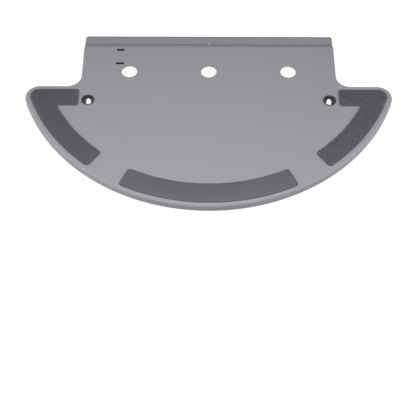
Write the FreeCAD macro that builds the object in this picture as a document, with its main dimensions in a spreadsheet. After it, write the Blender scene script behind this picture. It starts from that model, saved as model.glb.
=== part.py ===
import FreeCAD, Part
import math
import os
import Sketcher

# Mop bracket of a robot vacuum: a thin-walled moulded tray shaped as a half disc with two ears and a
# stepped lip along its straight back edge. Three hook pads are stuck on its top face, two split snap
# posts hang below the ears, and a dark insert fills two slots near the back.
# Every body is drawn about the centre of the curved front edge, where the lip also starts.
# The top face of the tray is at height zero there, +Y points to the lip, and +X to the right.

doc = FreeCAD.newDocument("mop_bracket")

# Driving sizes in millimetres and degrees.
SIZES = (
    ("arc_radius", 168.0, "outer radius of the curved front edge"),
    ("half_width", 111.0, "half the width of the back part and of the lip"),
    ("ear_back", 43.4, "from the start of the lip forward to the back edge of the ears"),
    ("tip_radius", 12.0, "rounding of the two ear tips"),
    ("inner_corner_radius", 12.0, "hollow rounding between an ear and the back part"),
    ("wall", 1.8, "wall thickness of the tray"),
    ("skirt_height", 7.0, "height of the tray's side wall"),
    ("edge_radius", 2.0, "rounding along the top edge"),
    ("lip_depth", 20.6, "depth of the lip behind the tray"),
    ("lip_drop", 3.5, "from the top face down to the start of the lip's ledge"),
    ("lip_angle", 30.0, "angle of the slope that leads down to the ledge"),
    ("ledge_angle", 7.0, "slight fall of the ledge towards the back"),
    ("fold_radius", 6.0, "rounding at the top of the slope"),
    ("valley_radius", 2.5, "hollow rounding at the foot of the slope"),
    ("roll_radius", 6.0, "rounding where the ledge turns down"),
    ("lip_wall", 0.4, "height of the upright wall below the rounded ledge"),
    ("notch_radius", 0.8, "relief notch in each side where the lip starts"),
    ("pip_diameter", 2.0, "moulding pip on the slope of the lip"),
    ("pip_back", 7.0, "from the start of the lip back to the pip"),
    ("pip_proud", 0.3, "how far the pip stands above the middle of its place on the slope"),
    ("hole_diameter", 13.8, "three round holes in a row"),
    ("hole_spacing", 69.4, "distance between neighbouring round holes"),
    ("hole_forward", 27.0, "from the start of the lip forward to the holes"),
    ("slot_length", 7.0, "length of the two small slots across the tray"),
    ("slot_width", 2.8, "width of the two small slots"),
    ("slot_outboard", 8.8, "from the outer round hole further out to the slots"),
    ("slot_forward", 2.4, "from the start of the lip forward to the rear slot"),
    ("slot_spacing", 15.6, "distance between the two slots"),
    ("post_gap", 2.2, "from the end of a side pad's arm to a post's hole"),
    ("post_from_ear", 15.7, "from the back edge of an ear forward to its post"),
    ("post_hole_diameter", 11.6, "hole in the tray for a snap post"),
    ("post_clearance", 0.1, "gap between a post and its hole"),
    ("hole_bevel", 0.3, "small bevel of the round holes' upper edges"),
    ("socket_wall", 2.2, "wall of the socket ring below the tray"),
    ("socket_depth", 4.0, "from the top face down to the foot of a socket ring"),
    ("post_sunk", 0.4, "how far a post's rim lies below the top face"),
    ("post_reach", 21.5, "from the top face down to the tip of a post"),
    ("barrel_wall", 1.0, "wall of a post inside its socket"),
    ("collar_overlap", 1.7, "how far the collar stands out past the hole"),
    ("collar_thickness", 1.5, "thickness of the collar that seats on the socket"),
    ("shank_diameter", 9.8, "diameter of a post below its collar"),
    ("leg_bore", 4.6, "bore down the middle of a post's legs"),
    ("barb_diameter", 12.0, "diameter over the barbs"),
    ("barb_length", 5.5, "from the barb's shoulder to the tip"),
    ("shoulder_fall", 0.6, "slant of the barb's shoulder"),
    ("tip_diameter", 7.2, "diameter of a post at its tip"),
    ("split_width", 5.0, "slot that splits a post into two legs"),
    ("split_top", 4.1, "from the top face down to the top of the split"),
    ("pad_margin", 4.4, "from the tray's edge in to a side hook pad"),
    ("pad_width", 18.2, "width of the side hook pads"),
    ("center_pad_margin", 3.2, "from the tray's edge in to the middle hook pad"),
    ("center_pad_width", 18.5, "width of the middle hook pad"),
    ("pad_height", 1.3, "thickness of the hook pads"),
    ("pad_corner", 3.0, "rounding of the pads' corners"),
    ("center_pad_angle", 26.5, "half the angle that the middle pad spans"),
    ("side_pad_angle", 37.5, "angle from the middle to the start of a side pad"),
    ("elbow_radius", 1.0, "hollow rounding of a side pad's inner elbow"),
    ("pad_arm_length", 17.9, "length of a side pad's arm from its inner elbow"),
    ("insert_clearance", 0.15, "gap between the insert's tabs and the slots"),
    ("insert_sunk", 0.9, "how far the insert's tabs lie below the top face"),
    ("insert_overlap", 0.9, "how far the insert's bar reaches past the slots"),
    ("insert_thickness", 2.4, "thickness of the insert's bar"),
    ("rib_thickness", 1.2, "thickness of the stiffening ribs"),
    ("rib_height", 3.0, "height of the stiffening ribs below the top wall"),
    ("rib_gap", 5.0, "from the insert's bar out to the outer rib beside it"),
    ("cross_rib_forward", 100.0, "from the start of the lip forward to the cross rib"),
)

sheet = doc.addObject("Spreadsheet::Sheet", "dims")
for row, (alias, size, note) in enumerate(SIZES, start=1):
    sheet.set(f"A{row}", alias)
    sheet.set(f"B{row}", str(size))
    sheet.set(f"C{row}", note)
    sheet.setAlias(f"B{row}", alias)
doc.recompute()

# Places that several pieces share, as formulas of the driving sizes.
PLAN_SHIFT = "(dims.arc_radius - dims.lip_depth) / 2"
BEND = "(cos(dims.ledge_angle) - cos(dims.lip_angle))"
SLOPE_FALL = f"(dims.lip_drop - dims.fold_radius * (1 - cos(dims.lip_angle)) - dims.valley_radius * {BEND})"
SLOPE_RUN = f"(dims.fold_radius * sin(dims.lip_angle) + {SLOPE_FALL} / tan(dims.lip_angle))"
VALLEY_X = f"({SLOPE_RUN} + dims.valley_radius * sin(dims.lip_angle))"
VALLEY_Y = "(-dims.lip_drop + dims.valley_radius * cos(dims.ledge_angle))"
ROLL_X = "(dims.lip_depth - dims.roll_radius)"
BOTH_RADII = "(dims.valley_radius + dims.roll_radius)"
LEDGE_FALL = f"(({ROLL_X} - {VALLEY_X}) * tan(dims.ledge_angle) + {BOTH_RADII} / cos(dims.ledge_angle))"
ROLL_Y = f"({VALLEY_Y} - {LEDGE_FALL})"
LIP_BOTTOM = f"(dims.lip_wall - {ROLL_Y})"
PAD_OUTER = "(dims.arc_radius - dims.pad_margin)"
PAD_INNER = f"({PAD_OUTER} - dims.pad_width)"
CENTER_OUTER = "(dims.arc_radius - dims.center_pad_margin)"
CENTER_INNER = f"({CENTER_OUTER} - dims.center_pad_width)"
ARM_BACK = "(-dims.ear_back - dims.pad_margin)"
ARM_FRONT = f"({ARM_BACK} - dims.pad_width)"
ELBOW_X = f"sqrt({PAD_INNER} ^ 2 - {ARM_FRONT} ^ 2)"
ARM_END = f"({ELBOW_X} - dims.pad_arm_length)"
POST_X = f"({ARM_END} - dims.post_gap - dims.post_hole_diameter / 2)"
POST_Y = "(-dims.ear_back - dims.post_from_ear)"
SOCKET_RADIUS = "(dims.post_hole_diameter / 2 + dims.socket_wall)"
BARREL_RADIUS = "(dims.post_hole_diameter / 2 - dims.post_clearance)"
SPLIT_RADIUS = "(dims.split_width / 2)"
SLOT_X = "(dims.hole_spacing + dims.slot_outboard)"
SLOT_YS = ("-dims.slot_forward", "-dims.slot_forward - dims.slot_spacing")
BAR_HALF_X = "(dims.slot_length / 2 + dims.insert_overlap)"
RIB_INNER = "(dims.hole_spacing / 2)"
RIB_OUTER = f"({SLOT_X} + {BAR_HALF_X} + dims.rib_gap + dims.rib_thickness / 2)"
LEFT = "-"
RIGHT = ""
LINE = "line"


def value(formula):
    """Works out a formula of the sheet's sizes as a plain number."""
    return float(sheet.evalExpression(formula.replace("dims.", "")))


def body_named(label):
    """A new body that stands in the shared place over the part's own origin."""
    body = doc.addObject("PartDesign::Body", label)
    body.Label = label
    body.setExpression("Placement.Base.y", PLAN_SHIFT)
    body.setExpression("Placement.Base.z", "dims.post_reach")
    return body


def sketch_on(body, role, name, height=None):
    """A sketch on one of the body's own origin planes, raised by a formula where one is given."""
    plane = next(part for part in body.Origin.OriginFeatures if part.Role == role)
    sketch = body.newObject("Sketcher::SketchObject", name)
    sketch.AttachmentSupport = [(plane, "")]
    sketch.MapMode = "FlatFace"
    if height is not None:
        sketch.setExpression("AttachmentOffset.Base.z", height)
    return sketch


def bind(sketch, kind, refs, formula):
    """Adds a dimension to the sketch and ties it to a formula."""
    index = sketch.addConstraint(Sketcher.Constraint(kind, *refs, value(formula)))
    sketch.setExpression(f"Constraints[{index}]", formula)


def place(sketch, geometry, end, x=None, y=None):
    """Ties one end of a line or an arc to its distances from the sketch's origin."""
    for kind, formula in (("DistanceX", x), ("DistanceY", y)):
        if formula is not None:
            bind(sketch, kind, (-1, 1, geometry, end), formula)


def outline(sketch, corners):
    """Draws a closed outline from corners (x, y, ties, joint, edge): the two formulas of the corner, which
    of them are tied ("x", "y", "xy" or ""), "sharp" or "smooth" for how the edges meet there, and the edge
    that leads to the next corner: LINE, or an arc as (centre x, centre y, radius, turn, centre tied), where
    turn is +1 for an arc that runs counterclockwise and -1 for one that runs clockwise."""
    points = [FreeCAD.Vector(value(x), value(y), 0) for x, y, _, _, _ in corners]
    count = len(corners)
    ends = []
    for index, (_, _, _, _, edge) in enumerate(corners):
        here = points[index]
        there = points[(index + 1) % count]
        if edge == LINE:
            sketch.addGeometry(Part.LineSegment(here, there), False)
            ends.append((1, 2))
            continue
        centre = FreeCAD.Vector(value(edge[0]), value(edge[1]), 0)
        circle = Part.Circle(centre, FreeCAD.Vector(0, 0, 1), value(edge[2]))
        first, last = (here, there) if edge[3] > 0 else (there, here)
        first_angle = math.atan2(first.y - centre.y, first.x - centre.x)
        last_angle = math.atan2(last.y - centre.y, last.x - centre.x)
        if last_angle <= first_angle:
            last_angle += 2 * math.pi
        sketch.addGeometry(Part.ArcOfCircle(circle, first_angle, last_angle), False)
        ends.append((1, 2) if edge[3] > 0 else (2, 1))
    for index, (_, _, _, joint, _) in enumerate(corners):
        kind = "Tangent" if joint == "smooth" else "Coincident"
        refs = (index - 1) % count, ends[index - 1][1], index, ends[index][0]
        sketch.addConstraint(Sketcher.Constraint(kind, *refs))
    for index, (x, y, ties, _, edge) in enumerate(corners):
        place(sketch, index, ends[index][0], x if "x" in ties else None, y if "y" in ties else None)
        if edge == LINE:
            continue
        bind(sketch, "Radius", (index,), edge[2])
        if edge[4]:
            place(sketch, index, 3, edge[0], edge[1])
    doc.recompute()


def circle_at(sketch, x, y, radius):
    """Draws one circle tied to its centre and radius."""
    centre = FreeCAD.Vector(value(x), value(y), 0)
    index = sketch.addGeometry(Part.Circle(centre, FreeCAD.Vector(0, 0, 1), value(radius)), False)
    place(sketch, index, 3, x, y)
    bind(sketch, "Radius", (index,), radius)


def rectangle(sketch, left, right, low, high):
    """Adds a tied rectangle to a sketch that may already hold others."""
    first = sketch.GeometryCount
    x0, x1, y0, y1 = (value(formula) for formula in (left, right, low, high))
    points = [FreeCAD.Vector(*xy, 0) for xy in ((x0, y0), (x1, y0), (x1, y1), (x0, y1))]
    for index in range(4):
        sketch.addGeometry(Part.LineSegment(points[index], points[(index + 1) % 4]), False)
    for index in range(4):
        refs = (first + index, 2, first + (index + 1) % 4, 1)
        sketch.addConstraint(Sketcher.Constraint("Coincident", *refs))
    for index, (x, y) in enumerate(((left, low), (right, low), (right, high), (left, high))):
        place(sketch, first + index, 1, x, y)


def grow(body, kind, name, sketch, length, reverse=False, both_ways=False):
    """Pads or pockets a sketch over a length, and stops if it changed nothing."""
    before = body.Shape.Volume if not body.Shape.isNull() else 0.0
    feature = body.newObject("PartDesign::" + kind, name)
    feature.Profile = sketch
    feature.setExpression("Length", length)
    feature.Reversed = reverse
    feature.Midplane = both_ways
    feature.Refine = True
    doc.recompute()
    change = body.Shape.Volume - before
    if (change <= 0) if kind == "Pad" else (change >= 0):
        raise RuntimeError(f"{name} changed the volume by {change:.3f}")
    return feature


def soften_edges(body, kind, name, wanted, size):
    """Rounds or bevels the edges of the body's last feature that the test picks."""
    last = body.Tip
    names = [f"Edge{i}" for i, edge in enumerate(last.Shape.Edges, start=1) if wanted(edge)]
    feature = body.newObject("PartDesign::" + kind, name)
    feature.Base = (last, names)
    feature.setExpression("Radius" if kind == "Fillet" else "Size", size)
    doc.recompute()
    if not names or "Invalid" in feature.State:
        raise RuntimeError(f"{name} could not soften {len(names)} edges")
    return feature


def round_edges(body, name, wanted, radius):
    """Rounds the edges of the body's last feature that the test picks."""
    return soften_edges(body, "Fillet", name, wanted, radius)


CLOSE = 0.001


def is_upright(edge):
    """True for a straight edge that runs along the height."""
    return edge.BoundBox.XLength < CLOSE and edge.BoundBox.YLength < CLOSE


def near(edge, x, y):
    """True where the edge's middle lies over a plan point, on either side of the part."""
    middle = edge.BoundBox.Center
    return math.hypot(abs(middle.x) - abs(x), middle.y - y) < 10 * CLOSE


def tray_corners(inset):
    """The tray's outline in plan, drawn in from its edge by a formula: the straight back, the two sides,
    the hollow corners, the ears with their rounded tips, and the long front arc."""
    side = f"dims.half_width - {inset}"
    ear = f"-dims.ear_back - {inset}"
    hollow = f"dims.inner_corner_radius + {inset}"
    hollow_x = "(dims.half_width + dims.inner_corner_radius)"
    hollow_y = "(-dims.ear_back + dims.inner_corner_radius)"
    tip = f"dims.tip_radius - {inset}"
    tip_y = "(-dims.ear_back - dims.tip_radius)"
    tip_x = f"sqrt((dims.arc_radius - dims.tip_radius) ^ 2 - {tip_y} ^ 2)"
    radius = f"(dims.arc_radius - {inset})"
    spread = f"{radius} / (dims.arc_radius - dims.tip_radius)"
    front = ("0", "0", radius, 1, True)
    return [
        (side, "0", "xy", "sharp", LINE),
        (f"-({side})", "0", "xy", "sharp", LINE),
        (f"-({side})", hollow_y, "x", "smooth", (f"-{hollow_x}", hollow_y, hollow, -1, False)),
        (f"-{hollow_x}", ear, "y", "smooth", LINE),
        (f"-{tip_x}", ear, "y", "smooth", (f"-{tip_x}", tip_y, tip, 1, False)),
        (f"-{tip_x} * {spread}", f"{tip_y} * {spread}", "", "smooth", front),
        (f"{tip_x} * {spread}", f"{tip_y} * {spread}", "", "smooth", (tip_x, tip_y, tip, 1, False)),
        (tip_x, ear, "y", "smooth", LINE),
        (hollow_x, ear, "y", "smooth", (hollow_x, hollow_y, hollow, -1, False)),
        (side, hollow_y, "x", "smooth", LINE),
    ]


def on_section(x, y, radius, fall):
    """The point on a rounding of the lip's section where its surface falls back at an angle. A hollow
    rounding has its centre above the surface and is given a negative radius."""
    return f"{x} + {radius} * sin({fall})", f"{y} + {radius} * cos({fall})"


def lip_corners(inset, front, bottom):
    """The lip's section, seen from the side with the lip to the right, drawn in by a formula. The slope
    leaves the top face in a rounding, runs straight and ends in a hollow rounding on the ledge, and the
    ledge falls a little to the back and rolls over into a short upright wall."""
    fold = f"(dims.fold_radius - {inset})"
    valley = f"(dims.valley_radius + {inset})"
    roll = f"(dims.roll_radius - {inset})"
    slope_head = on_section("0", "-dims.fold_radius", fold, "dims.lip_angle")
    slope_foot = on_section(VALLEY_X, VALLEY_Y, f"(-{valley})", "dims.lip_angle")
    ledge_start = on_section(VALLEY_X, VALLEY_Y, f"(-{valley})", "dims.ledge_angle")
    ledge_end = on_section(ROLL_X, ROLL_Y, roll, "dims.ledge_angle")
    return [
        (front, bottom, "xy", "sharp", LINE),
        (f"dims.lip_depth - {inset}", bottom, "xy", "sharp", LINE),
        (f"dims.lip_depth - {inset}", ROLL_Y, "y", "sharp", (ROLL_X, ROLL_Y, roll, 1, True)),
        (*ledge_end, "x", "sharp", LINE),
        (*ledge_start, "x", "sharp", (VALLEY_X, VALLEY_Y, valley, -1, True)),
        (*slope_foot, "x", "sharp", LINE),
        (*slope_head, "x", "sharp", ("0", "-dims.fold_radius", fold, 1, True)),
        ("0", f"-{inset}", "x", "sharp", LINE),
        (front, f"-{inset}", "xy", "sharp", LINE),
    ]


def build_bracket_plate():
    """The moulded tray with its lip, holes, slots, post sockets and ribs."""
    body = body_named("bracket_plate")

    sketch = sketch_on(body, "XY_Plane", "tray_outline")
    outline(sketch, tray_corners("0"))
    grow(body, "Pad", "tray", sketch, "dims.skirt_height", reverse=True)

    sketch = sketch_on(body, "YZ_Plane", "lip_section")
    outline(sketch, lip_corners("0", "0", f"-{LIP_BOTTOM}")[:-1])
    grow(body, "Pad", "lip", sketch, "dims.half_width * 2", both_ways=True)

    side_x = value("dims.half_width")
    back_y = value("dims.lip_depth")
    lip_foot = -value(LIP_BOTTOM)

    def on_rim(edge):
        """The rim round the ears and the front, the lip's side edges, and its two upright corners."""
        box = edge.BoundBox
        if is_upright(edge):
            return near(edge, side_x, back_y)
        fold_line = box.XLength > side_x and box.YLength < CLOSE
        on_tray = box.ZMin > -CLOSE and box.YMax < CLOSE and not fold_line
        on_lip_side = box.XLength < CLOSE and box.YMin > -CLOSE and box.ZMax > lip_foot + CLOSE
        return on_tray or on_lip_side

    round_edges(body, "rim", on_rim, "dims.edge_radius")

    sketch = sketch_on(body, "XY_Plane", "cavity_outline", "-dims.skirt_height")
    outline(sketch, tray_corners("dims.wall"))
    grow(body, "Pocket", "cavity", sketch, "dims.skirt_height - dims.wall", reverse=True)

    sketch = sketch_on(body, "YZ_Plane", "lip_cavity_section")
    outline(sketch, lip_corners("dims.wall", "-dims.wall", f"-{LIP_BOTTOM} * 2"))
    grow(body, "Pocket", "lip_cavity", sketch, "(dims.half_width - dims.wall) * 2", both_ways=True)

    sketch = sketch_on(body, "XY_Plane", "socket_rings", "-dims.socket_depth")
    for side in (LEFT, RIGHT):
        circle_at(sketch, side + POST_X, POST_Y, SOCKET_RADIUS)
    grow(body, "Pad", "sockets", sketch, "dims.socket_depth - dims.wall / 2")

    sketch = sketch_on(body, "XY_Plane", "rib_lines", "-dims.wall - dims.rib_height")
    half = "dims.rib_thickness / 2"
    rim = "(dims.arc_radius - dims.wall / 2)"
    for x in (LEFT + RIB_OUTER, LEFT + RIB_INNER, RIB_INNER, RIB_OUTER):
        start = f"-sqrt({rim} ^ 2 - ({x}) ^ 2)"
        rectangle(sketch, f"{x} - {half}", f"{x} + {half}", start, "0")
    grow(body, "Pad", "ribs", sketch, "dims.rib_height + dims.wall / 2")

    sketch = sketch_on(body, "XY_Plane", "cross_rib_line", "-dims.wall - dims.rib_height")
    y = "-dims.cross_rib_forward"
    reach = f"sqrt({rim} ^ 2 - ({y}) ^ 2)"
    rectangle(sketch, f"-{reach}", reach, f"{y} - {half}", f"{y} + {half}")
    grow(body, "Pad", "cross_rib", sketch, "dims.rib_height + dims.wall / 2")

    down_the_slope = "(dims.pip_back - dims.fold_radius * sin(dims.lip_angle)) * tan(dims.lip_angle)"
    slope_at_pip = f"-dims.fold_radius * (1 - cos(dims.lip_angle)) - {down_the_slope}"
    sketch = sketch_on(body, "XY_Plane", "pip_circle", f"{slope_at_pip} + dims.pip_proud")
    circle_at(sketch, "0", "dims.pip_back", "dims.pip_diameter / 2")
    grow(body, "Pad", "pip", sketch, "dims.wall / 2 + dims.pip_proud", reverse=True)

    sketch = sketch_on(body, "XY_Plane", "post_holes")
    for side in (LEFT, RIGHT):
        circle_at(sketch, side + POST_X, POST_Y, "dims.post_hole_diameter / 2")
    grow(body, "Pocket", "post_hole_cuts", sketch, "dims.skirt_height * 2")

    sketch = sketch_on(body, "XY_Plane", "slots")
    for y in SLOT_YS:
        rectangle(sketch, f"-{SLOT_X} - dims.slot_length / 2", f"-{SLOT_X} + dims.slot_length / 2",
                  f"{y} - dims.slot_width / 2", f"{y} + dims.slot_width / 2")
    grow(body, "Pocket", "slot_cuts", sketch, "dims.wall * 2")

    sketch = sketch_on(body, "XY_Plane", "side_notches")
    for side in (LEFT, RIGHT):
        circle_at(sketch, side + "dims.half_width", "0", "dims.notch_radius")
    grow(body, "Pocket", "notch_cuts", sketch, LIP_BOTTOM + " * 2")

    sketch = sketch_on(body, "XY_Plane", "first_hole")
    circle_at(sketch, "-dims.hole_spacing", "-dims.hole_forward", "dims.hole_diameter / 2")
    hole = grow(body, "Pocket", "hole_cut", sketch, "dims.skirt_height * 2")
    row_of_holes = body.newObject("PartDesign::LinearPattern", "row_of_holes")
    row_of_holes.Originals = [hole]
    row_of_holes.Direction = (sketch, ["H_Axis"])
    row_of_holes.setExpression("Length", "dims.hole_spacing * 2")
    row_of_holes.Occurrences = 3
    body.Tip = row_of_holes
    doc.recompute()

    def on_round_hole(edge):
        """The upper edges of the three round holes and of the two post holes."""
        return isinstance(edge.Curve, Part.Circle) and edge.isClosed() and edge.BoundBox.ZMin > -CLOSE

    soften_edges(body, "Chamfer", "hole_edges", on_round_hole, "dims.hole_bevel")
    return body


def on_circle(radius, angle):
    """The place on a circle about the origin at an angle round from the front to the right."""
    return f"{radius} * sin({angle})", f"-{radius} * cos({angle})"


def build_center_pad():
    """The middle hook pad: a stretch of ring with straight radial ends."""
    body = body_named("hook_pad_center")
    out_x, out_y = on_circle(CENTER_OUTER, "dims.center_pad_angle")
    in_x, in_y = on_circle(CENTER_INNER, "dims.center_pad_angle")
    sketch = sketch_on(body, "XY_Plane", "center_pad_outline")
    outline(sketch, [
        (LEFT + out_x, out_y, "x", "sharp", ("0", "0", CENTER_OUTER, 1, True)),
        (out_x, out_y, "x", "sharp", LINE),
        (in_x, in_y, "x", "sharp", ("0", "0", CENTER_INNER, -1, True)),
        (LEFT + in_x, in_y, "x", "sharp", LINE),
    ])
    grow(body, "Pad", "center_pad", sketch, "dims.pad_height")
    round_edges(body, "center_pad_corners", is_upright, "dims.pad_corner")
    return body


def build_side_pad(label, side):
    """A side hook pad: a stretch of ring that turns at the ear tip and runs back along the ear's edge."""
    body = body_named(label)
    out_x, out_y = on_circle(PAD_OUTER, "dims.side_pad_angle")
    in_x, in_y = on_circle(PAD_INNER, "dims.side_pad_angle")
    tip_x = f"sqrt({PAD_OUTER} ^ 2 - {ARM_BACK} ^ 2)"
    turn = -1 if side == LEFT else 1
    sketch = sketch_on(body, "XY_Plane", label + "_outline")
    outline(sketch, [
        (side + out_x, out_y, "x", "sharp", ("0", "0", PAD_OUTER, turn, True)),
        (side + tip_x, ARM_BACK, "y", "sharp", LINE),
        (side + ARM_END, ARM_BACK, "xy", "sharp", LINE),
        (side + ARM_END, ARM_FRONT, "xy", "sharp", LINE),
        (side + ELBOW_X, ARM_FRONT, "y", "sharp", ("0", "0", PAD_INNER, -turn, True)),
        (side + in_x, in_y, "x", "sharp", LINE),
    ])
    grow(body, "Pad", label + "_strip", sketch, "dims.pad_height")
    tip = (value(tip_x), value(ARM_BACK))
    elbow = (value(ELBOW_X), value(ARM_FRONT))
    round_edges(body, label + "_tip", lambda edge: is_upright(edge) and near(edge, *tip),
                "dims.tip_radius - dims.pad_margin")
    corners = [(value(x), value(y)) for x, y in (
        (ARM_END, ARM_BACK),
        (ARM_END, ARM_FRONT),
        (out_x, out_y),
        (in_x, in_y),
    )]
    round_edges(body, label + "_corners",
                lambda edge: is_upright(edge) and any(near(edge, *corner) for corner in corners),
                "dims.pad_corner")
    round_edges(body, label + "_elbow", lambda edge: is_upright(edge) and near(edge, *elbow),
                "dims.elbow_radius")
    return body


def build_snap_post(label, side):
    """A split snap post: a thin barrel in the tray's socket, a collar that seats on the socket from
    below, and two legs with barbs."""
    body = body_named(label)
    body.setExpression("Placement.Base.x", side + POST_X)
    body.setExpression("Placement.Base.y", f"{PLAN_SHIFT} + {POST_Y}")
    bore = f"({BARREL_RADIUS} - dims.barrel_wall)"
    collar = "(dims.post_hole_diameter / 2 + dims.collar_overlap)"
    collar_foot = "(-dims.socket_depth - dims.collar_thickness)"
    shoulder = "(-dims.post_reach + dims.barb_length)"
    sketch = sketch_on(body, "XZ_Plane", label + "_section")
    outline(sketch, [(x, y, "xy", "sharp", LINE) for x, y in (
        ("dims.leg_bore / 2", collar_foot),
        ("dims.leg_bore / 2", "-dims.post_reach"),
        ("dims.tip_diameter / 2", "-dims.post_reach"),
        ("dims.barb_diameter / 2", f"{shoulder} - dims.shoulder_fall"),
        ("dims.shank_diameter / 2", shoulder),
        ("dims.shank_diameter / 2", collar_foot),
        (collar, collar_foot),
        (collar, "-dims.socket_depth"),
        (BARREL_RADIUS, "-dims.socket_depth"),
        (BARREL_RADIUS, "-dims.post_sunk"),
        (bore, "-dims.post_sunk"),
        (bore, "-dims.socket_depth"),
    )])
    post = body.newObject("PartDesign::Revolution", label + "_turned")
    post.Profile = sketch
    post.ReferenceAxis = (sketch, ["V_Axis"])
    post.Angle = 360
    doc.recompute()
    split_y = f"(-dims.split_top - {SPLIT_RADIUS})"
    sketch = sketch_on(body, "XZ_Plane", label + "_split")
    outline(sketch, [
        (f"-{SPLIT_RADIUS}", "-dims.post_reach * 2", "xy", "sharp", LINE),
        (SPLIT_RADIUS, "-dims.post_reach * 2", "xy", "sharp", LINE),
        (SPLIT_RADIUS, split_y, "y", "sharp", ("0", split_y, SPLIT_RADIUS, 1, True)),
        (f"-{SPLIT_RADIUS}", split_y, "y", "sharp", LINE),
    ])
    grow(body, "Pocket", label + "_split_cut", sketch, "dims.post_reach * 2", both_ways=True)
    return body


def build_slot_insert():
    """The dark insert: a bar under the tray with two tabs that fill the slots."""
    body = body_named("slot_insert")
    middle = "(-dims.slot_forward - dims.slot_spacing / 2)"
    half_y = "(dims.slot_spacing / 2 + dims.slot_width / 2 + dims.insert_overlap)"
    sketch = sketch_on(body, "XY_Plane", "bar_outline", "-dims.wall")
    rectangle(sketch, f"-{SLOT_X} - {BAR_HALF_X}", f"-{SLOT_X} + {BAR_HALF_X}",
              f"{middle} - {half_y}", f"{middle} + {half_y}")
    grow(body, "Pad", "bar", sketch, "dims.insert_thickness", reverse=True)
    tab_x = "(dims.slot_length / 2 - dims.insert_clearance)"
    tab_y = "(dims.slot_width / 2 - dims.insert_clearance)"
    sketch = sketch_on(body, "XY_Plane", "tab_outlines", "-dims.wall - dims.insert_thickness / 2")
    for y in SLOT_YS:
        rectangle(sketch, f"-{SLOT_X} - {tab_x}", f"-{SLOT_X} + {tab_x}",
                  f"{y} - {tab_y}", f"{y} + {tab_y}")
    grow(body, "Pad", "tabs", sketch, "dims.wall + dims.insert_thickness / 2 - dims.insert_sunk")
    return body


parts = [
    build_bracket_plate(),
    build_center_pad(),
    build_side_pad("hook_pad_left", LEFT),
    build_side_pad("hook_pad_right", RIGHT),
    build_snap_post("snap_post_left", LEFT),
    build_snap_post("snap_post_right", RIGHT),
    build_slot_insert(),
]
doc.recompute()

for item in doc.Objects:
    if "Invalid" in item.State or "Error" in item.State:
        raise RuntimeError(f"{item.Label} failed: {item.State}")
for body in parts:
    if body.Shape.isNull() or not body.Shape.isValid():
        raise RuntimeError(f"{body.Label} has no valid shape")

os.makedirs("parts", exist_ok=True)
for body in parts:
    box = body.Shape.BoundBox
    body.Shape.exportStep(os.path.join("parts", body.Label + ".step"))
    print(f"{body.Label}: {len(body.Shape.Solids)} solid, {box.XLength:.1f} x {box.YLength:.1f}"
          f" x {box.ZLength:.1f} mm, {body.Shape.Volume:.0f} mm3")
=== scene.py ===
import math

import bmesh
import bpy
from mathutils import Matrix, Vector


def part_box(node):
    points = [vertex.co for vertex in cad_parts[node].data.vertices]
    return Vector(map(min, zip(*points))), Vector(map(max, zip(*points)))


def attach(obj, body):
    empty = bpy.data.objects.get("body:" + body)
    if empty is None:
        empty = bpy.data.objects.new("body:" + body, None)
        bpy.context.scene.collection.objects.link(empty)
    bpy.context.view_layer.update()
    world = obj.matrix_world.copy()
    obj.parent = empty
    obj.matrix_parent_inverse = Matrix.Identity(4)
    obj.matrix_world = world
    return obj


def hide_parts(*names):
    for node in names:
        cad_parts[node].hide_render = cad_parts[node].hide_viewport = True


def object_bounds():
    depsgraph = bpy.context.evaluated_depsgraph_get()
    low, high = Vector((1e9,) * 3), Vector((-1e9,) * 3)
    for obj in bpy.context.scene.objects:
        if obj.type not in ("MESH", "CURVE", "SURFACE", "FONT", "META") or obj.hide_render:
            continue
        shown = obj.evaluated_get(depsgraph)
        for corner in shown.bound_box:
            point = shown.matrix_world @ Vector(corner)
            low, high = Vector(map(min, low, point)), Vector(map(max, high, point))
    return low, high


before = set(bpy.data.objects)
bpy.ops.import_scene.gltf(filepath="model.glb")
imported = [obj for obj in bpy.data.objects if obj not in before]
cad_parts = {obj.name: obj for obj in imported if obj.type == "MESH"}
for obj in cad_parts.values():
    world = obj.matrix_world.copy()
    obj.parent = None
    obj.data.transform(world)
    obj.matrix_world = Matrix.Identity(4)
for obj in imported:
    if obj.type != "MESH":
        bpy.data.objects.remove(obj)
cad_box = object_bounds()
MM = 0.001


# Moulded tray
# The tray is one injection moulding in satin light grey plastic. The mould leaves a fine even grain on
# every face, and the melt leaves very faint cloudy streaks that run from the back to the front.
TRAY_COLOR = (0.325, 0.315, 0.342, 1.0)
TRAY_CLOUD_COLOR = (0.300, 0.291, 0.317, 1.0)
TRAY_CLOUD_SIZE = 60 * MM
TRAY_ROUGHNESS = 0.50
TRAY_GLOSS = 0.10
TRAY_GRAIN_SIZE = 0.35 * MM
TRAY_GRAIN_DEPTH = 0.012 * MM
CLOUD_STRETCH = (1.0, 0.45, 1.0)
CLOUD_DULLING = 0.05
GRAIN_DULLING = 0.04


class Wire:
    """An output of a node. Arithmetic on wires and numbers adds the Math nodes for it."""

    def __init__(self, graph, socket):
        self.graph = graph
        self.socket = socket

    def math(self, operation, first, second):
        return self.graph.node("ShaderNodeMath", {"operation": operation}, {0: first, 1: second})

    def __add__(self, other):
        return self.math("ADD", self, other)

    __radd__ = __add__

    def __sub__(self, other):
        return self.math("SUBTRACT", self, other)

    def __rsub__(self, other):
        return self.math("SUBTRACT", other, self)

    def __mul__(self, other):
        return self.math("MULTIPLY", self, other)

    __rmul__ = __mul__

    def __truediv__(self, other):
        return self.math("DIVIDE", self, other)

    def __gt__(self, other):
        return self.math("GREATER_THAN", self, other)

    def __lt__(self, other):
        return self.math("LESS_THAN", self, other)


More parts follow.
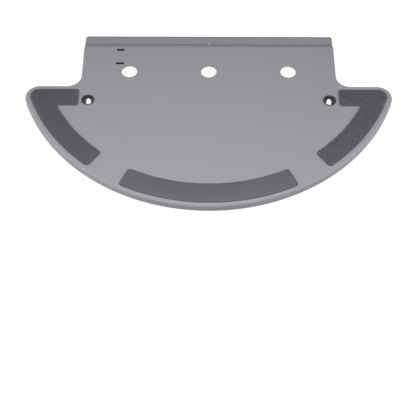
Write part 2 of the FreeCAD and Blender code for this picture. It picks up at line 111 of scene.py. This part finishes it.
class Graph:
    """A node tree that grows by one call for each node."""

    def __init__(self, tree):
        self.tree = tree

    def feed(self, socket, value):
        if isinstance(value, Wire):
            self.tree.links.new(value.socket, socket)
        else:
            socket.default_value = value

    def node(self, kind, settings=None, inputs=None, output=0):
        """Adds a node with its settings and inputs, and gives one of its outputs."""
        made = self.tree.nodes.new(kind)
        for name, value in (settings or {}).items():
            setattr(made, name, value)
        for key, value in (inputs or {}).items():
            for one in value if isinstance(value, list) else [value]:
                self.feed(made.inputs[key], one)
        return Wire(self, made.outputs[output]) if made.outputs else None

    def other(self, wire, output):
        """Another output of the node that a wire comes from."""
        return Wire(self, wire.socket.node.outputs[output])

    def mix_colors(self, factor, first, second):
        return self.node("ShaderNodeMix", {"data_type": "RGBA"}, {0: factor, 6: first, 7: second}, 2)


def shader_graph(name):
    """A new material with an empty node tree."""
    material = bpy.data.materials.new(name)
    material.use_nodes = True
    material.node_tree.nodes.clear()
    return material, Graph(material.node_tree)


def noise(graph, size, detail, roughness, stretch=(1.0, 1.0, 1.0)):
    """Noise from 0 to 1 over the object's own coordinates, with lumps of the given size."""
    place = graph.node("ShaderNodeTexCoord", output="Object")
    place = graph.node("ShaderNodeMapping", {}, {"Vector": place, "Scale": stretch})
    settings = {"noise_dimensions": "3D"}
    inputs = {"Vector": place, "Scale": 1.0 / size, "Detail": detail, "Roughness": roughness}
    return graph.node("ShaderNodeTexNoise", settings, inputs, "Fac")


def moulded_plastic(name, color, cloud_color, cloud_size, roughness, gloss, grain_size, grain_depth):
    """Moulded plastic: a fine grain from the mould, and faint clouds in its colour and dullness."""
    material, graph = shader_graph(name)
    cloud = noise(graph, cloud_size, 3.0, 0.55, CLOUD_STRETCH)
    grain = noise(graph, grain_size, 2.0, 0.6)
    bump = graph.node("ShaderNodeBump", {}, {
        "Strength": 1.0,
        "Distance": grain_depth,
        "Height": grain,
    }, "Normal")
    shader = graph.node("ShaderNodeBsdfPrincipled", {}, {
        "Base Color": graph.mix_colors(cloud, color, cloud_color),
        "Roughness": roughness - GRAIN_DULLING + cloud * CLOUD_DULLING + grain * GRAIN_DULLING,
        "Specular IOR Level": gloss,
        "Normal": bump,
    })
    graph.node("ShaderNodeOutputMaterial", {}, {"Surface": shader})
    return material


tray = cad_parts["bracket_plate"]
tray.data.materials[0] = moulded_plastic(
    "satin_grey_plastic",
    color=TRAY_COLOR,
    cloud_color=TRAY_CLOUD_COLOR,
    cloud_size=TRAY_CLOUD_SIZE,
    roughness=TRAY_ROUGHNESS,
    gloss=TRAY_GLOSS,
    grain_size=TRAY_GRAIN_SIZE,
    grain_depth=TRAY_GRAIN_DEPTH,
)


# Moulding pip
# One small round button at the foot of the lip's slope, where the melt came into the mould. It is the
# tray's own plastic, painted paler as a painted highlight where its top catches the light, and stands
# over the solid's smaller pip.
# The paler colours are a painted highlight for the light on the pip's top.
PIP_HIGHLIGHT_COLOR = (0.380, 0.369, 0.396, 1.0)
PIP_HIGHLIGHT_CLOUD_COLOR = (0.350, 0.340, 0.366, 1.0)
PIP_CLOUD_SIZE = 2 * MM
PIP_RADIUS = 1.5 * MM
PIP_TALL = 1.3 * MM
PIP_EDGE_RADIUS = 0.35 * MM
PIP_EDGE_STEPS = 4
PIP_SIDES = 40
PIP_RIGHT = 0.3 * MM
PIP_FROM_BACK = 13.2 * MM
PIP_BELOW_TOP = 2.3 * MM
SHARP_ANGLE = math.radians(40)


def mesh_of(shape, name):
    """The plain mesh of a finished bmesh."""
    mesh = bpy.data.meshes.new(name)
    shape.to_mesh(mesh)
    shape.free()
    return mesh


def smooth(mesh):
    """Shades a mesh smooth but for its sharp edges."""
    mesh.polygons.foreach_set("use_smooth", [True] * len(mesh.polygons))
    mesh.set_sharp_from_angle(angle=SHARP_ANGLE)


def add_object(name, data):
    """A new object in the scene that holds a mesh, a lamp or a camera."""
    made = bpy.data.objects.new(name, data)
    bpy.context.scene.collection.objects.link(made)
    return made


shape = bmesh.new()
round_form = {"segments": PIP_SIDES, "radius1": PIP_RADIUS, "radius2": PIP_RADIUS, "depth": PIP_TALL}
bmesh.ops.create_cone(shape, cap_ends=True, **round_form)
edges = [edge for edge in shape.edges if all(vert.co.z > 0 for vert in edge.verts)]
edge_form = {"offset": PIP_EDGE_RADIUS, "segments": PIP_EDGE_STEPS, "profile": 0.5, "affect": "EDGES"}
bmesh.ops.bevel(shape, geom=edges, **edge_form)
tray_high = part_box("bracket_plate")[1]
for vert in shape.verts:
    vert.co.x += PIP_RIGHT
    vert.co.y += tray_high.y - PIP_FROM_BACK
    vert.co.z += tray_high.z - PIP_BELOW_TOP - PIP_TALL / 2
mesh = mesh_of(shape, "moulding_pip")
smooth(mesh)
# Painted highlight: the pip's plastic is painted paler than the tray's.
mesh.materials.append(moulded_plastic(
    "grey_plastic_painted_highlight",
    color=PIP_HIGHLIGHT_COLOR,
    cloud_color=PIP_HIGHLIGHT_CLOUD_COLOR,
    cloud_size=PIP_CLOUD_SIZE,
    roughness=TRAY_ROUGHNESS,
    gloss=TRAY_GLOSS,
    grain_size=TRAY_GRAIN_SIZE,
    grain_depth=TRAY_GRAIN_DEPTH,
))
pip = add_object("moulding_pip", mesh)
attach(pip, "root")


# Snap posts
# The two split posts are moulded in tough black nylon. It comes out of the mould a little glossier than
# the tray, and it is scuffed where the posts snap in and out.
NYLON_COLOR = (0.024, 0.024, 0.026, 1.0)
NYLON_SCUFF_COLOR = (0.050, 0.050, 0.054, 1.0)
NYLON_SCUFF_SIZE = 4 * MM
NYLON_ROUGHNESS = 0.40
NYLON_GLOSS = 0.50
NYLON_GRAIN_SIZE = 0.5 * MM
NYLON_GRAIN_DEPTH = 0.008 * MM

black_nylon = moulded_plastic(
    "black_nylon",
    color=NYLON_COLOR,
    cloud_color=NYLON_SCUFF_COLOR,
    cloud_size=NYLON_SCUFF_SIZE,
    roughness=NYLON_ROUGHNESS,
    gloss=NYLON_GLOSS,
    grain_size=NYLON_GRAIN_SIZE,
    grain_depth=NYLON_GRAIN_DEPTH,
)
for name in ("snap_post_left", "snap_post_right"):
    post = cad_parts[name]
    post.data.materials[0] = black_nylon


# Slot insert
# The dark piece that fills the two slots from below. Its plastic is coloured with soot, so it is a dull,
# slightly uneven black with almost no gloss, and each slot reads as a dark mark.
SOOTY_COLOR = (0.006, 0.006, 0.007, 1.0)
SOOTY_CLOUD_COLOR = (0.010, 0.010, 0.011, 1.0)
SOOTY_CLOUD_SIZE = 3 * MM
SOOTY_ROUGHNESS = 0.62
SOOTY_GLOSS = 0.06
SOOTY_GRAIN_SIZE = 0.3 * MM
SOOTY_GRAIN_DEPTH = 0.015 * MM

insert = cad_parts["slot_insert"]
insert.data.materials[0] = moulded_plastic(
    "sooty_plastic",
    color=SOOTY_COLOR,
    cloud_color=SOOTY_CLOUD_COLOR,
    cloud_size=SOOTY_CLOUD_SIZE,
    roughness=SOOTY_ROUGHNESS,
    gloss=SOOTY_GLOSS,
    grain_size=SOOTY_GRAIN_SIZE,
    grain_depth=SOOTY_GRAIN_DEPTH,
)


# Hook pads
# Three pieces die-cut from moulded hook tape and stuck on the tray: a thin backing whose cut edge is
# softened, and on it rows of small nylon hooks. Each row bends the other way from the one before.
BACKING_SHARE = 0.38
CUT_EDGE_RADIUS = 0.18 * MM
CUT_EDGE_STEPS = 2
CUT_EDGE_ANGLE = 1.0
OUTLINE_ANGLE = math.radians(60)
FLAT_ANGLE = math.radians(1)
SAME_PLACE = 0.001 * MM
SIDE_TURN = math.radians(52)
ROW_PITCH = 1.15 * MM
HOOK_PITCH = 0.95 * MM
HOOK_MARGIN = 0.45 * MM
HOOK_REACH = 0.5 * MM
WIRE_WIDTH = 0.24 * MM
WIRE_DEPTH = 0.2 * MM
ROOT_SWELL = 1.25
TIP_TAPER = 0.75
HOOK_SECTIONS = 5
HOOK_SEED = 7
# The points that bend one hook, as shares of its reach and of its height.
HOOK_BEND = {
    "Start": (-0.4, -0.1),
    "Start Handle": (-0.4, 1.02),
    "End Handle": (0.75, 1.06),
    "End": (0.6, 0.42),
}
SIDE_LEAN = 0.10
FRONT_LEAN = 0.08
TWIST = 0.16
SHORTEST = 0.90
RAY_START = 1.0
RAY_LENGTH = 2.0
BACKING_COLOR = (0.062, 0.061, 0.070, 1.0)
BACKING_FLECK_COLOR = (0.076, 0.075, 0.086, 1.0)
BACKING_ROUGHNESS = 0.6
FLECK_SIZE = 0.6 * MM
FLECK_DEPTH = 0.03 * MM
FLECK_POLISH = 0.1
HOOK_COLOR = (0.080, 0.079, 0.091, 1.0)
# The lighter hook colour serves both the random tone of single hooks and the middle pad's painted sheen.
HOOK_LIGHT_COLOR = (0.285, 0.284, 0.307, 1.0)
HOOK_ROUGHNESS = 0.42
HOOK_DULLING = 0.1
SHADE_SPREAD = 0.12
SHADE_SHARE = 0.7
PATCH_SHARE = 0.3
PATCH_SIZE = 9 * MM
# The middle pad's hooks are painted paler: a painted sheen for the light that its rows catch.
CENTER_PAINTED_SHEEN = 1.20


def backing_material():
    """The tape's backing: smooth dark nylon with a weak fleck."""
    material, graph = shader_graph("hook_tape_backing")
    fleck = noise(graph, FLECK_SIZE, 3.0, 0.6)
    bump = graph.node("ShaderNodeBump", {}, {
        "Strength": 1.0,
        "Distance": FLECK_DEPTH,
        "Height": fleck,
    }, "Normal")
    shader = graph.node("ShaderNodeBsdfPrincipled", {}, {
        "Base Color": graph.mix_colors(fleck, BACKING_COLOR, BACKING_FLECK_COLOR),
        "Roughness": BACKING_ROUGHNESS - fleck * FLECK_POLISH,
        "Normal": bump,
    })
    graph.node("ShaderNodeOutputMaterial", {}, {"Surface": shader})
    return material


def hook_material():
    """The hooks: nylon that is a little lighter on some hooks than on others, and painted paler on the
    middle pad as a painted sheen.
    """
    material, graph = shader_graph("hook_tape_hooks")
    tone_and_sheen = graph.node("ShaderNodeAttribute", {"attribute_name": "hook_shade"}, {}, "Fac")
    patch = noise(graph, PATCH_SIZE, 2.0, 0.5)
    lightness = tone_and_sheen * SHADE_SHARE + patch * PATCH_SHARE
    shader = graph.node("ShaderNodeBsdfPrincipled", {}, {
        "Base Color": graph.mix_colors(lightness, HOOK_COLOR, HOOK_LIGHT_COLOR),
        "Roughness": HOOK_ROUGHNESS + tone_and_sheen * HOOK_DULLING,
    })
    graph.node("ShaderNodeOutputMaterial", {}, {"Surface": shader})
    return material


def hook_field(backing_finish, hook_finish):
    """The tree that covers a tape's backing with rows of hooks, and the sockets of its sizes."""
    tree = bpy.data.node_groups.new("hook_field", "GeometryNodeTree")
    sockets = {}
    for kind, names in (
        ("NodeSocketGeometry", ["Tape"]),
        ("NodeSocketFloat", ["Turn", "Height", "Row pitch", "Hook pitch", "Margin"]),
        ("NodeSocketFloat", ["Reach", "Width", "Depth", "Painted sheen"]),
        ("NodeSocketInt", ["Sections", "Seed"]),
    ):
        for name in names:
            sockets[name] = tree.interface.new_socket(name=name, in_out="INPUT", socket_type=kind)
    tree.interface.new_socket(name="Tape", in_out="OUTPUT", socket_type="NodeSocketGeometry")

    graph = Graph(tree)
    tape = graph.node("NodeGroupInput", output="Tape")
    size = {name: graph.other(tape, name) for name in sockets}

    def vector(x, y, z):
        return graph.node("ShaderNodeCombineXYZ", {}, {0: x, 1: y, 2: z})

    def parts(wire):
        first = graph.node("ShaderNodeSeparateXYZ", {}, {0: wire})
        return first, graph.other(first, 1), graph.other(first, 2)

    def whole(operation, wire):
        return graph.node("ShaderNodeMath", {"operation": operation}, {0: wire})

    def random(low, high, salt):
        inputs = {2: low, 3: high, "Seed": size["Seed"] + salt}
        return graph.node("FunctionNodeRandomValue", {"data_type": "FLOAT"}, inputs, 1)

    # A grid of points over the tape, turned so that its rows run along the tape. Neighbouring rows are
    # half a hook's pitch apart along the row.
    low = graph.node("GeometryNodeBoundBox", {}, {"Geometry": tape}, "Min")
    low_x, low_y, low_z = parts(low)
    high = graph.other(low, "Max")
    high_x, high_y, high_z = parts(high)
    settings = {"operation": "DISTANCE"}
    diagonal = graph.node("ShaderNodeVectorMath", settings, {0: low, 1: high}, "Value")
    columns = whole("FLOOR", diagonal / size["Hook pitch"])
    rows = whole("FLOOR", diagonal / size["Row pitch"])
    span_x = (columns - 1) * size["Hook pitch"]
    span_y = (rows - 1) * size["Row pitch"]
    points = graph.node("GeometryNodeMeshGrid", {}, {
        "Size X": span_x,
        "Size Y": span_y,
        "Vertices X": columns,
        "Vertices Y": rows,
    })
    place = graph.node("GeometryNodeInputPosition")
    row = whole("ROUND", (parts(place)[1] + span_y * 0.5) / size["Row pitch"])
    odd = graph.node("ShaderNodeMath", {"operation": "FLOORED_MODULO"}, {0: row, 1: 2.0})
    points = graph.node("GeometryNodeStoreNamedAttribute", {"data_type": "FLOAT", "domain": "POINT"}, {
        "Geometry": points,
        "Name": "odd_row",
        "Value": odd,
    })
    odd = graph.node("GeometryNodeInputNamedAttribute", {"data_type": "FLOAT"}, {"Name": "odd_row"})
    points = graph.node("GeometryNodeSetPosition", {}, {
        "Geometry": points,
        "Offset": vector((odd - 0.5) * size["Hook pitch"] * 0.5, 0.0, 0.0),
    })
    points = graph.node("GeometryNodeTransform", {}, {
        "Geometry": points,
        "Translation": vector((low_x + high_x) * 0.5, (low_y + high_y) * 0.5, low_z),
        "Rotation": vector(0.0, 0.0, size["Turn"]),
    })

    # Only the points on the tape and clear of its cut edge stay, raised to its top.
    bend = graph.node("GeometryNodeInputMeshEdgeAngle", output="Unsigned Angle")
    outline = graph.node("GeometryNodeSeparateGeometry", {"domain": "EDGE"}, {
        "Geometry": tape,
        "Selection": (bend > OUTLINE_ANGLE) * (parts(place)[2] < low_z + SAME_PLACE),
    })
    settings = {"target_element": "EDGES"}
    clear = graph.node("GeometryNodeProximity", settings, {0: outline}, "Distance") > size["Margin"]
    rise = vector(0.0, 0.0, high_z - low_z + RAY_START)
    above = graph.node("ShaderNodeVectorMath", {"operation": "ADD"}, {0: place, 1: rise})
    on_tape = graph.node("GeometryNodeRaycast", {}, {
        "Target Geometry": tape,
        "Source Position": above,
        "Ray Direction": (0.0, 0.0, -1.0),
        "Ray Length": RAY_LENGTH,
    }, "Is Hit")
    points = graph.node("GeometryNodeDeleteGeometry", {"domain": "POINT"}, {
        "Geometry": points,
        "Selection": 1 - on_tape * clear,
    })
    points = graph.node("GeometryNodeSetPosition", {}, {
        "Geometry": points,
        "Offset": vector(0.0, 0.0, high_z - low_z),
    })

    # One hook: a flat wire that rises from the backing, bends over and thins to its tip.
    line = {
        name: vector(size["Reach"] * across, 0.0, size["Height"] * up)
        for name, (across, up) in HOOK_BEND.items()
    }
    line["Resolution"] = size["Sections"]
    line = graph.node("GeometryNodeCurvePrimitiveBezierSegment", {"mode": "POSITION"}, line)
    along = graph.node("GeometryNodeSplineParameter", output="Factor")
    line = graph.node("GeometryNodeSetCurveRadius", {}, {
        "Curve": line,
        "Radius": ROOT_SWELL - along * TIP_TAPER,
    })
    section = graph.node("GeometryNodeCurvePrimitiveQuadrilateral", {"mode": "RECTANGLE"}, {
        "Width": size["Depth"],
        "Height": size["Width"],
    })
    hook = graph.node("GeometryNodeCurveToMesh", {}, {
        "Curve": line,
        "Profile Curve": section,
        "Fill Caps": True,
    })

    # A hook on every point. Each leans, twists and reaches up a little differently from the next.
    hooks = graph.node("GeometryNodeInstanceOnPoints", {}, {
        "Points": points,
        "Instance": hook,
        "Rotation": vector(
            random(-SIDE_LEAN, SIDE_LEAN, 1),
            random(-FRONT_LEAN, FRONT_LEAN, 2),
            size["Turn"] + odd * math.pi + random(-TWIST, TWIST, 3),
        ),
        "Scale": vector(1.0, 1.0, random(SHORTEST, 1.0, 4)),
    })
    # Each hook's tone differs at random, and the painted sheen on top makes the middle pad's hooks paler.
    settings = {"data_type": "FLOAT", "domain": "INSTANCE"}
    hooks = graph.node("GeometryNodeStoreNamedAttribute", settings, {
        "Geometry": hooks,
        "Name": "hook_shade",
        "Value": random(0.0, SHADE_SPREAD, 5) + size["Painted sheen"],
    })
    hooks = graph.node("GeometryNodeRealizeInstances", {}, {"Geometry": hooks})
    hooks = graph.node("GeometryNodeSetMaterial", {}, {"Geometry": hooks, "Material": hook_finish})
    tape = graph.node("GeometryNodeSetMaterial", {}, {"Geometry": tape, "Material": backing_finish})
    joined = graph.node("GeometryNodeJoinGeometry", {}, {"Geometry": [tape, hooks]})
    graph.node("NodeGroupOutput", {}, {"Tape": joined})
    return tree, sockets


def tape_backing(name, solid):
    """The tape without its hooks: the pad's solid thinned to its backing, with the cut edge softened."""
    shape = bmesh.new()
    shape.from_mesh(solid.data)
    bmesh.ops.remove_doubles(shape, verts=shape.verts, dist=SAME_PLACE)
    bmesh.ops.dissolve_limit(shape, angle_limit=FLAT_ANGLE, verts=shape.verts, edges=shape.edges)
    low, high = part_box(solid.name)
    upper = {vert for vert in shape.verts if vert.co.z > high.z - SAME_PLACE}
    for vert in upper:
        vert.co.z = low.z + (high.z - low.z) * BACKING_SHARE
    upper_edges = [edge for edge in shape.edges if upper.issuperset(edge.verts)]
    rim = [edge for edge in upper_edges if edge.calc_face_angle() > CUT_EDGE_ANGLE]
    edge_form = {"offset": CUT_EDGE_RADIUS, "segments": CUT_EDGE_STEPS, "profile": 0.5, "affect": "EDGES"}
    bmesh.ops.bevel(shape, geom=rim, **edge_form)
    return add_object(name, mesh_of(shape, name))


def hook_tape(name, solid, turn, painted_sheen, tree, sockets):
    """One finished pad: the backing with its hooks, as a plain mesh."""
    backing = tape_backing(name + "_backing", solid)
    low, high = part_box(solid.name)
    sizes = {
        "Turn": turn,
        "Height": (high.z - low.z) * (1 - BACKING_SHARE),
        "Row pitch": ROW_PITCH,
        "Hook pitch": HOOK_PITCH,
        "Margin": HOOK_MARGIN,
        "Reach": HOOK_REACH,
        "Width": WIRE_WIDTH,
        "Depth": WIRE_DEPTH,
        "Painted sheen": painted_sheen,
        "Sections": HOOK_SECTIONS,
        "Seed": HOOK_SEED,
    }
    modifier = backing.modifiers.new("hooks", "NODES")
    modifier.node_group = tree
    for size, number in sizes.items():
        modifier[sockets[size].identifier] = number
    graph = bpy.context.evaluated_depsgraph_get()
    mesh = bpy.data.meshes.new_from_object(backing.evaluated_get(graph), depsgraph=graph)
    mesh.name = name
    bpy.data.objects.remove(backing)
    smooth(mesh)
    return add_object(name, mesh)


tree, sockets = hook_field(backing_material(), hook_material())
# The middle pad gets the painted sheen that makes its hooks paler; the side pads get none.
for side, turn, painted_sheen in (
    ("center", 0.0, CENTER_PAINTED_SHEEN),
    ("left", -SIDE_TURN, 0.0),
    ("right", SIDE_TURN, 0.0),
):
    node = "hook_pad_" + side
    tape = hook_tape("hook_tape_" + side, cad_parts[node], turn, painted_sheen, tree, sockets)
    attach(tape, "root")
    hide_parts(node)


# Studio
# A plain pale floor that is whiter far away, a soft box above the tray's curved front edge, a soft box
# low on each side that lights the rounded rim, and the photograph's camera, which looks down from a
# little under a metre.
WHITE = (1.0, 1.0, 1.0, 1.0)
FLOOR_SIZE = 8.0
FLOOR_COLOR = (0.60, 0.60, 0.60, 1.0)
FLOOR_SEEN_COLOR = (0.30, 0.30, 0.30, 1.0)
FLOOR_GLOW = 0.90
FAR_GLOW = 1.0
FAR_FROM = 0.35
FAR_WIDTH = 0.75
WORLD_STRENGTH = 0.06
SEEN_STRENGTH = 1.0


def seen_rays(graph):
    """1 for rays that show a surface to the camera, straight or by a reflection or through glass."""
    camera = graph.node("ShaderNodeLightPath", output="Is Camera Ray")
    glossy = graph.other(camera, "Is Glossy Ray")
    through = graph.other(camera, "Is Transmission Ray")
    total = camera + glossy + through
    return graph.node("ShaderNodeMath", {"operation": "MINIMUM"}, {0: total, 1: 1.0})


half = FLOOR_SIZE / 2
corners = [(-half, -half, 0), (half, -half, 0), (half, half, 0), (-half, half, 0)]
mesh = bpy.data.meshes.new("floor")
mesh.from_pydata(corners, [], [(0, 1, 2, 3)])
floor = add_object("floor", mesh)

material, graph = shader_graph("pale_floor")
plain = graph.node("ShaderNodeBsdfDiffuse", {}, {"Color": FLOOR_COLOR})
seen = graph.node("ShaderNodeBsdfDiffuse", {}, {"Color": FLOOR_SEEN_COLOR})
near = graph.node("ShaderNodeEmission", {}, {"Color": WHITE, "Strength": FLOOR_GLOW})
far = graph.node("ShaderNodeEmission", {}, {"Color": WHITE, "Strength": FAR_GLOW})
place = graph.node("ShaderNodeTexCoord", output="Object")
away = graph.node("ShaderNodeVectorMath", {"operation": "LENGTH"}, {0: place}, "Value")
glow = graph.node("ShaderNodeMixShader", {}, {0: (away - FAR_FROM) / FAR_WIDTH, 1: near, 2: far})
shown = graph.node("ShaderNodeAddShader", {}, {0: seen, 1: glow})
surface = graph.node("ShaderNodeMixShader", {}, {0: seen_rays(graph), 1: plain, 2: shown})
graph.node("ShaderNodeOutputMaterial", {}, {"Surface": surface})
floor.data.materials.append(material)

world = bpy.data.worlds.new("studio")
world.use_nodes = True
world.node_tree.nodes.clear()
graph = Graph(world.node_tree)
background = graph.node("ShaderNodeBackground", {}, {
    "Color": WHITE,
    "Strength": seen_rays(graph) * (SEEN_STRENGTH - WORLD_STRENGTH) + WORLD_STRENGTH,
})
graph.node("ShaderNodeOutputWorld", {}, {"Surface": background})
bpy.context.scene.world = world

# Each lamp's name, place and width in metres, and power in watts.
LAMPS = (
    ("front_box", (0.0, -0.19, 0.40), 0.30, 1.42),
    ("left_box", (-0.60, -0.16, 0.28), 0.30, 2.38),
    ("right_box", (0.60, -0.16, 0.28), 0.30, 2.23),
)
middle = (cad_box[0] + cad_box[1]) / 2
for name, place, width, power in LAMPS:
    lamp = bpy.data.lights.new(name, "AREA")
    lamp.size = width
    lamp.energy = power
    holder = add_object(name, lamp)
    holder.location = place
    holder.rotation_euler = (middle - Vector(place)).to_track_quat("-Z", "Y").to_euler()

CAMERA_PLACE = (-0.0003, -0.5388, 0.7021)
CAMERA_TILT = math.radians(33.04)
CAMERA_ROLL = math.radians(0.18)
CAMERA_LENS = 88.03
CAMERA_NEAREST = 0.01

lens = bpy.data.cameras.new("camera")
lens.lens = CAMERA_LENS
lens.clip_start = CAMERA_NEAREST
camera = add_object("camera", lens)
camera.location = CAMERA_PLACE
camera.rotation_euler = (CAMERA_TILT, 0.0, 0.0)
camera.rotation_euler.rotate_axis("Z", CAMERA_ROLL)
bpy.context.scene.camera = camera
bpy.context.scene.view_settings.view_transform = "Standard"
